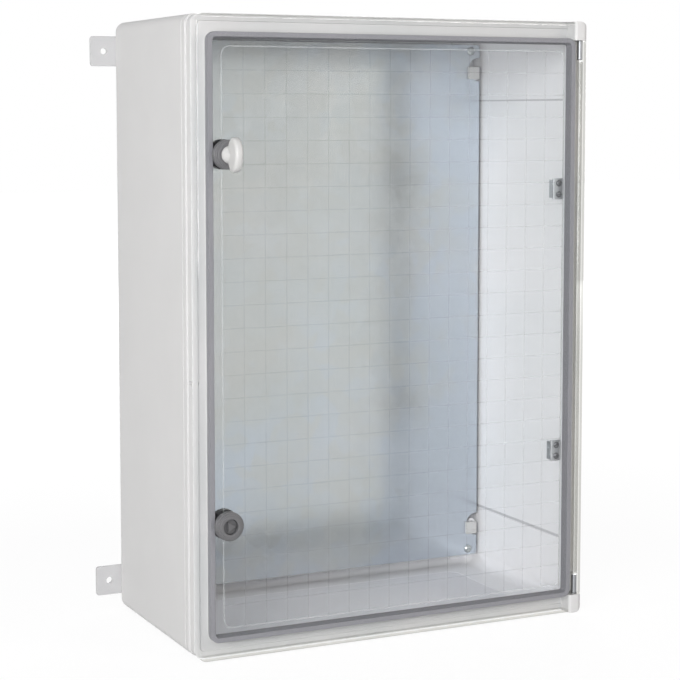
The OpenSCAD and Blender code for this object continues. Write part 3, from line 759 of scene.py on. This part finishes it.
class CABINET_OT_plate(bpy.types.Operator):
    """Finish the galvanised mounting plate, and model its screws and clips"""

    bl_idname = "cabinet.plate"
    bl_label = "Mounting Plate"

    def execute(self, context):
        colours = context.scene.cabinet_colours
        finish_node("mounting_plate", galvanised_sheet("Galvanised steel sheet"))
        front = node_box("mounting_plate")[0].y
        bm = bmesh.new()
        for x, z in corners_in("mounting_plate", *PLATE_SCREW_IN):
            screw(bm, x, z, front, 3.7, 2.2, 1.9, 11)
        piece("plate_pan_screws", bm, "cabinet", [zinc_steel(colours)], ["plate_screws"])
        low, high = node_box("plate_clips")
        face = low.y
        half_w, half_h, thick, foot_r = 5.6, 5.7, 2.4, 2.9
        seam_low, seam_high = -2.3, -1.7
        bm, seams, feet = bmesh.new(), bmesh.new(), bmesh.new()
        for x, z in corners_in("plate_clips", half_w, half_h):
            x0, x1, z0, z1 = x - half_w, x + half_w, z - half_h, z + half_h
            rounded_plate(bm, x0, x1, face, face + thick, z0, z1, 1.2, 0.4, 4)
            block(seams, x - 7, x + 7, face - 1, face + 0.6, z + seam_low, z + seam_high)
        for x, z in corners_in("plate_clips", *CLIP_FOOT_IN):
            rod(feet, x, z, foot_r, face + 1.5, high.y)
        carve(bm, [feet], "UNION")
        carve(bm, [seams])
        piece("plate_hold_clips", bm, "cabinet", [white_plastic(colours)], ["plate_clips"])
        return {"FINISHED"}


class CABINET_OT_wall_brackets(bpy.types.Operator):
    """Model the four wall brackets and finish their screws"""

    bl_idname = "cabinet.wall_brackets"
    bl_label = "Wall Brackets"

    def execute(self, context):
        colours = context.scene.cabinet_colours
        nylon = moulded_plastic("Moulded pale grey nylon", colours.bracket, 0.4, 0.9, 0.04, 0.02)
        # Each hole's distance from the bracket's outer end, and its radius
        holes = ((11.5, 2.75), (36, 4.25))
        for node in WALL_BRACKETS:
            low, high = node_box(node)
            side = 1 if high.x > 0 else -1
            outer = high.x if side > 0 else low.x
            z = (low.z + high.z) / 2
            bm, drill = bmesh.new(), bmesh.new()
            rounded_plate(bm, low.x, high.x, low.y, high.y, low.z, high.z, 2.5, 0.35)
            for inset, radius in holes:
                rod(drill, outer - side * inset, z, radius, low.y - 1, high.y + 1)
            carve(bm, [drill])
            piece(f"{node}_tab", bm, "cabinet", [nylon], [node])
        finish_node("wall_bracket_screws", zinc_steel(colours))
        return {"FINISHED"}


class CABINET_OT_rim_brackets(bpy.types.Operator):
    """Model the two small steel brackets inside the hinge-side rim, with their screws"""

    bl_idname = "cabinet.rim_brackets"
    bl_label = "Rim Brackets"

    def execute(self, context):
        steel = plated_steel("Dull zinc-plated sheet", linear("#AEB0B3"), 0.5)
        dark = plated_steel("Blackened steel", linear("#717275"), 0.45)
        screw_in, screw_half = 5.3, 4.6
        screws = bmesh.new()
        for node in RIM_BRACKETS:
            low, high = node_box(node)
            middle = (low.z + high.z) / 2
            bm, tongue = bmesh.new(), bmesh.new()
            verts = block(bm, low.x, high.x, low.y, low.y + SHEET, low.z, high.z)
            round_over(bm, edges_along(verts, 1, lambda m: m.x > low.x + 1), 1.2, 4)
            block(tongue, low.x, low.x + SHEET, low.y + 0.4, high.y, low.z + SHEET, high.z - SHEET)
            carve(bm, [tongue], "UNION")
            bend = edges_at_depth(bm.verts, low.y, lambda m: abs(m.x - low.x) < 1e-3)
            round_over(bm, bend, 0.9, 4)
            piece(f"{node}_sheet", bm, "cabinet", [steel], [node])
            for z in (middle - screw_half, middle + screw_half):
                screw(screws, low.x + screw_in, z, low.y, 2.7, 1.6, 1.5, 6.4)
        piece("rim_bracket_pan_screws", screws, "cabinet", [dark], ["rim_bracket_screws"])
        return {"FINISHED"}


class CABINET_OT_hinge_pins(bpy.types.Operator):
    """Model the two steel hinge pins"""

    bl_idname = "cabinet.hinge_pins"
    bl_label = "Hinge Pins"

    def execute(self, context):
        dull = plated_steel("Dull steel pin", linear("#8F9194"), 0.42)
        for end in ENDS:
            node = f"{end}_hinge_pin"
            low, high = node_box(node)
            radius = (high.x - low.x) / 2
            bm = bmesh.new()
            upright(bm, low.x + radius, low.y + radius, radius, low.z, high.z)
            round_over(bm, sharp_edges(bm, 60), 0.5)
            piece(f"{node}_rod", bm, "cabinet", [dull], [node])
        return {"FINISHED"}


class CABINET_OT_door(bpy.types.Operator):
    """Model the clear door with its skirt, hinge barrel and lock holes"""

    bl_idname = "cabinet.door"
    bl_label = "Clear Door"

    def execute(self, context):
        s = sizes_of(context)
        low, high = node_box("door_panel")
        axis = s.width / 2 - s.barrel
        bm = self.plate(s, low, high, axis)
        carve(bm, [self.hinge_strip(s, high, axis)], "UNION")
        bore = bmesh.new()
        upright(bore, axis, s.barrel, s.barrel - s.skirt, low.z - 5, high.z + 5)
        carve(bm, [self.hollow(s, low, high, axis), bore])
        carve(bm, [self.knuckles(s, axis)], "UNION")
        holes, hole_r = bmesh.new(), 6.3
        for name in LOCK_HOUSINGS:
            rod(holes, *node_middle(name), hole_r, -1, s.panel + 1)
        carve(bm, [holes])
        for face in bm.faces:
            face.material_index = self.finish_of(face, s, low, high, axis)
        pane = clear_polycarbonate("Clear moulded polycarbonate", "#FCFDFD", "#FFFFFF", 1)
        thick = clear_polycarbonate("Thick clear polycarbonate", "#EFEFED", "#F5F4F2", 0.6)
        # Painted shade: the edges take a darker tint for the dark lines that refraction draws along them.
        edge = clear_polycarbonate("Polycarbonate edge with painted shade", "#D8D8D6", "#E1E1DF", 0.2)
        piece("clear_door", bm, "door", [pane, thick, edge], ["door_panel"])
        return {"FINISHED"}

    def plate(self, s, low, high, axis):
        """The door left of its hinge strip, with round corners and a rounded front edge."""
        right, corner_r, front_r = axis - 8.5, 7.5, 3
        bm = bmesh.new()
        verts = block(bm, -s.width / 2, right, 0, high.y, low.z, high.z)
        verts = round_some(bm, verts, edges_along(verts, 1, lambda m: m.x < 0), corner_r, 10)
        round_over(bm, edges_at_depth(verts, 0, lambda m: m.x < right - 0.5), front_r, 6, False)
        return bm

    def hinge_strip(self, s, high, axis):
        """The strip between the lugs, rounded about the hinge."""
        half, end = s.width / 2, LUG_HEIGHT + LUG_GAP
        bm = bmesh.new()
        verts = block(bm, axis - 12, half, 0, high.y, end, s.height - end)
        round_over(bm, edges_along(verts, 2, lambda m: m.x > half - 1), s.barrel - 0.02, 12)
        return bm

    def hollow(self, s, low, high, axis):
        """The space behind the panel and inside the skirt."""
        left, bottom, top = -s.width / 2 + s.skirt, low.z + s.skirt, high.z - s.skirt
        bm = bmesh.new()
        verts = block(bm, left, axis, s.panel, high.y + 5, bottom, top)
        verts = round_some(bm, verts, edges_along(verts, 1, lambda m: m.x < 0), 5, 8)
        round_over(bm, edges_at_depth(verts, s.panel), 0.8, 3, False)
        return bm

    def knuckles(self, s, axis):
        """The solid ends of the barrel that the pins run in."""
        size, start_z = 17.5, LUG_HEIGHT + LUG_GAP
        bm = bmesh.new()
        for z in (start_z, s.height - start_z - size):
            upright(bm, axis, s.barrel, s.barrel - 0.3, z, z + size)
        return bm

    def finish_of(self, face, s, low, high, axis):
        """The finish of a face: 0 clear panel, 1 thick plastic, 2 edges and the hollow of the barrel,
        darker as painted shade.
        """
        middle = face.calc_center_median()
        end = min(middle.z - low.z, high.z - middle.z)
        lip_reach, side_reach, hinge_reach, foot_reach = 1.5, 4.6, 4, 3.2
        lip = end < lip_reach and middle.y < s.panel and abs(face.normal.z) > 0.5
        hollow_side = math.hypot(middle.x - axis, middle.y - s.barrel) < s.barrel - 1.5
        outer_side = middle.x > axis + side_reach and face.normal.y < 0.2
        if lip or hollow_side or outer_side:
            return 2
        return int(middle.x > axis - hinge_reach or middle.z - low.z < foot_reach)


class CABINET_OT_grid(bpy.types.Operator):
    """Model the fine grid of lines moulded in the door's clear panel"""

    bl_idname = "cabinet.grid"
    bl_label = "Door Grid"

    def execute(self, context):
        s = sizes_of(context)
        back = s.panel - 0.02
        front = back - 0.12
        columns, rows = 17, 25
        pitch, half_line = s.grid_pitch, s.grid_line / 2
        reach_x, reach_z = columns / 2 * pitch, rows / 2 * pitch
        bm = bmesh.new()
        for line in range(1, columns):
            x = line * pitch - reach_x
            block(bm, x - half_line, x + half_line, front, back, MID_Z - reach_z, MID_Z + reach_z)
        for line in range(1, rows):
            z = MID_Z + line * pitch - reach_z
            block(bm, -reach_x, reach_x, front, back, z - half_line, z + half_line)
        fine = frosted_line("Frosted polycarbonate line", "#868B8E", "#989DA0", 0.07)
        piece("door_grid_lines", bm, "door", [fine], ())
        bm = bmesh.new()
        outer = (2 * reach_x + s.grid_line, 2 * reach_z + s.grid_line, s.grid_corner)
        inner = (2 * reach_x - s.grid_line, 2 * reach_z - s.grid_line, s.grid_corner - s.grid_line)
        loft(bm, [(*outer, front, 0), (*inner, front, 0), (*inner, back, 0), (*outer, back, 0)], True)
        clear = frosted_line("Frosted polycarbonate border", "#D2D7DA", "#E4E8EA", 0.2)
        piece("door_grid_border", bm, "door", [clear], ())
        return {"FINISHED"}


class CABINET_OT_gasket(bpy.types.Operator):
    """Model the foam gasket behind the door's panel"""

    bl_idname = "cabinet.gasket"
    bl_label = "Gasket"

    def execute(self, context):
        colours = context.scene.cabinet_colours
        low, high = node_box("door_gasket")
        w, h, corner = high.x - low.x, high.z - low.z, 7
        front_w, back_w = 3.9, 5.5
        front = (w - 2 * front_w, h - 2 * front_w, 3.1, low.y, 0.4)
        back = (w - 2 * back_w, h - 2 * back_w, 1.6, high.y, 1.0)
        bm = bmesh.new()
        loft(bm, [(w, h, corner, low.y, 0.2), front, back, (w, h, corner, high.y, 1.4)], True)
        for face in bm.faces:
            middle = face.calc_center_median()
            inward = Vector((-middle.x, 0, MID_Z - middle.z))
            if abs(middle.x) / w > abs(middle.z - MID_Z) / h:
                inward.z = 0
            else:
                inward.x = 0
            face.material_index = int(face.normal.dot(inward.normalized()) > 0.4 or face.normal.y > 0.4)
        skin = foam("Bonded grey foam skin", colours.gasket)
        open_side = foam("Dark polyurethane foam", colours.foam)
        piece("foam_gasket", bm, "door", [skin, open_side], ["door_gasket"])
        return {"FINISHED"}


class CABINET_OT_locks(bpy.types.Operator):
    """Model the two quarter-turn locks and finish their cams, collars and seals"""

    bl_idname = "cabinet.locks"
    bl_label = "Locks"

    def execute(self, context):
        colours = context.scene.cabinet_colours
        plastic = moulded_plastic("Glass-filled dark grey nylon", colours.lock, 0.45, 0.7, 0.06, 0.06)
        dark = moulded_plastic("Die-cast dark insert", tinted(colours.lock, 0.8), 0.36, 0.7, 0.05, 0.06)
        rubber = moulded_plastic("Black EPDM rubber", linear("#1E1E20"), 0.7, 0.8, 0.05, 0.05)
        nut = moulded_plastic("Black nylon nut", linear("#232325"), 0.5, 0.8, 0.05, 0.05)
        zinc = zinc_steel(colours)
        for end in ENDS:
            housing, insert = f"{end}_lock_housing", f"{end}_lock_insert"
            x, z = node_middle(housing)
            piece(f"{end}_lock_bezel", self.bezel(x, z), "door", [plastic], [housing])
            piece(f"{end}_lock_post", self.post(x, z), f"{end}_lock", [dark], [insert])
            finish_node(f"{end}_lock_collar", nut)
            finish_node(f"{end}_lock_seal", rubber)
            finish_node(f"{end}_lock_cam", zinc)
            finish_node(f"{end}_cam_screw", zinc)
        return {"FINISHED"}

    def bezel(self, x, z):
        """The stepped bezel and the sleeve that passes through the door."""
        bm = bmesh.new()
        turned(
            bm,
            [(6.05, -8), (8.65, -8), (8.65, -7.3), (10.25, -7.3), (10.25, -6), (11.35, -6),
             (11.35, -0.8), (6, -0.8), (6, 20.2), (3.68, 20.2), (3.68, -3.2), (6.05, -3.2)],
            x, z, 0.3,
        )
        return bm

    def post(self, x, z):
        """The turning insert with its triangular post in front and its square tail behind."""
        bm, triangle, tail = bmesh.new(), bmesh.new(), bmesh.new()
        turned(
            bm,
            [(0, -5.2), (5.75, -5.2), (5.75, -3.5), (3.6, -3.5), (3.6, 20.6), (0, 20.6)],
            x, z, 0.25, 48, False,
        )
        lie = Matrix.Translation((x, -6.4, z)) @ LYING
        bmesh.ops.create_cone(
            triangle, cap_ends=True, segments=3, radius1=4.4, radius2=4.4, depth=2.6,
            matrix=lie @ Matrix.Rotation(math.radians(-90), 4, "Z"),
        )
        round_over(triangle, sharp_edges(triangle), 0.35, 2)
        half_tail = 2.5
        block(tail, x - half_tail, x + half_tail, 20.4, 22.9, z - half_tail, z + half_tail)
        carve(bm, [triangle, tail], "UNION")
        return bm


class CABINET_OT_key(bpy.types.Operator):
    """Model the white wing key in the upper lock"""

    bl_idname = "cabinet.key"
    bl_label = "Wing Key"

    def execute(self, context):
        white = white_plastic(context.scene.cabinet_colours)
        low, high = node_box("wing_key")
        x, z = node_middle("wing_key")
        half_height, half_depth, thick = (high.z - low.z) / 2, 9.4, 6.6
        bm, hub = bmesh.new(), bmesh.new()
        wing = bmesh.ops.create_cone(bm, cap_ends=True, segments=64, radius1=1, radius2=1, depth=1)["verts"]
        bmesh.ops.scale(bm, vec=(half_height, half_depth, thick), verts=wing)
        lie = Matrix.Translation((x, low.y + half_depth, z)) @ Matrix.Rotation(math.radians(90), 4, "Y")
        bmesh.ops.transform(bm, matrix=lie, verts=wing)
        round_over(bm, sharp_edges(bm, 60), 2.4, 5)
        turned(
            hub,
            [(0, low.y + 6), (3, low.y + 7), (3.6, -17), (4.6, -14.5), (6.2, -11.8), (6.9, -9.4),
             (6.9, -8.3), (5.6, -8.3), (5.6, high.y), (0, high.y)],
            x, z, 0.8, 48, False,
        )
        carve(bm, [hub], "UNION")
        piece("white_wing_key", bm, "key", [white], ["wing_key"], melt=0.35)
        return {"FINISHED"}


class CABINET_OT_stage(bpy.types.Operator):
    """Set the pale floor, the soft studio light and the camera"""

    bl_idname = "cabinet.stage"
    bl_label = "Stage"

    def execute(self, context):
        scene = context.scene
        scene.view_settings.view_transform = "Standard"
        self.world(scene)
        self.floor(scene)
        self.softbox(scene, "Left softbox", (-2.2, -1.75, 0.7), 62, "#FFFDFA")
        self.softbox(scene, "Front left softbox", (-1.3, -2.6, 0.7), 25, "#F6F8FF")
        self.softbox(scene, "Front right softbox", (1.9, -2.2, 1.3), 26, "#FFF8F0")
        self.softbox(scene, "Back softbox", (1.5, 2.6, 0.8), 45, "#FFFFFF")
        self.camera(scene)
        return {"FINISHED"}

    def camera(self, scene):
        """A camera where the photo was taken, from a perspective fit to the cabinet's corners."""
        image_px, focal_px, sensor_mm = 680, 1832.5, 36
        tilt, turn = -4.976, -25.685
        data = bpy.data.cameras.new("Photo camera")
        data.lens = focal_px * sensor_mm / image_px
        data.sensor_width = sensor_mm
        data.shift_y = -0.10
        data.clip_start = 0.05
        data.clip_end = 50
        camera = bpy.data.objects.new("Photo camera", data)
        camera.location = (-0.6766, -1.2935 + FRONT, 0.4248)
        camera.rotation_euler = (math.radians(90 + tilt), 0, math.radians(turn))
        scene.collection.objects.link(camera)
        scene.camera = camera

    def world(self, scene):
        """A dim dome that lights from above, and that the camera and gloss see as a white studio."""
        scene.world = bpy.data.worlds.new("Studio dome")
        scene.world.use_nodes = True
        tree = scene.world.node_tree
        tree.nodes.clear()
        way = add(tree, "TexCoord").outputs["Generated"]
        rise = add(tree, "SeparateXYZ", (), {"Vector": way})
        level = ranged(tree, rise.outputs["Z"], 0.02, 0.45, 0.2, 0.9)
        dome = add(tree, "Background", {"Color": linear("#FBFCFF")}, {"Strength": level})
        white = add(tree, "Background", {"Color": (1, 1, 1, 1), "Strength": 1.0})
        both = add(tree, "MixShader", (), {0: seen(tree), 1: dome, 2: white})
        add(tree, "OutputWorld", (), {"Surface": both})

    def floor(self, scene):
        """A plain floor under the cabinet."""
        bm = bmesh.new()
        bmesh.ops.create_grid(bm, x_segments=1, y_segments=1, size=8)
        mesh = bpy.data.meshes.new("studio_floor")
        bm.to_mesh(mesh)
        bm.free()
        mesh.materials.append(pale_floor("Pale studio floor"))
        ground = bpy.data.objects.new("studio_floor", mesh)
        scene.collection.objects.link(ground)

    def softbox(self, scene, name, place, power, code):
        """A square softbox that faces the middle of the cabinet."""
        data = bpy.data.lights.new(name, "AREA")
        data.size = 1.3
        data.energy = power
        data.color = linear(code)[:3]
        lamp = bpy.data.objects.new(name, data)
        lamp.location = place
        aim = Vector((0, 0, 0.25)) - lamp.location
        lamp.rotation_euler = aim.to_track_quat("-Z", "Y").to_euler()
        scene.collection.objects.link(lamp)


OPERATORS = (
    CABINET_OT_body, CABINET_OT_plate, CABINET_OT_wall_brackets, CABINET_OT_rim_brackets,
    CABINET_OT_hinge_pins, CABINET_OT_door, CABINET_OT_grid, CABINET_OT_gasket, CABINET_OT_locks,
    CABINET_OT_key, CABINET_OT_stage,
)


class CABINET_PT_tools(bpy.types.Panel):
    bl_idname = "CABINET_PT_tools"
    bl_label = "Control Cabinet"
    bl_space_type = "VIEW_3D"
    bl_region_type = "UI"
    bl_category = "Cabinet"

    def draw(self, context):
        scene = context.scene
        for group in (scene.cabinet_sizes, scene.cabinet_colours):
            box = self.layout.box()
            for name in type(group).__annotations__:
                box.prop(group, name)
        for operator in OPERATORS:
            self.layout.operator(operator.bl_idname)


CLASSES = (CabinetSizes, CabinetColours, *OPERATORS, CABINET_PT_tools)


def register():
    for cls in CLASSES:
        bpy.utils.register_class(cls)
    bpy.types.Scene.cabinet_sizes = bpy.props.PointerProperty(type=CabinetSizes)
    bpy.types.Scene.cabinet_colours = bpy.props.PointerProperty(type=CabinetColours)


def unregister():
    del bpy.types.Scene.cabinet_colours
    del bpy.types.Scene.cabinet_sizes
    for cls in reversed(CLASSES):
        bpy.utils.unregister_class(cls)


def main():
    register()
    bpy.ops.cabinet.body()
    bpy.ops.cabinet.plate()
    bpy.ops.cabinet.wall_brackets()
    bpy.ops.cabinet.rim_brackets()
    bpy.ops.cabinet.hinge_pins()
    bpy.ops.cabinet.door()
    bpy.ops.cabinet.grid()
    bpy.ops.cabinet.gasket()
    bpy.ops.cabinet.locks()
    bpy.ops.cabinet.key()
    bpy.ops.cabinet.stage()


if __name__ == "__main__":
    main()
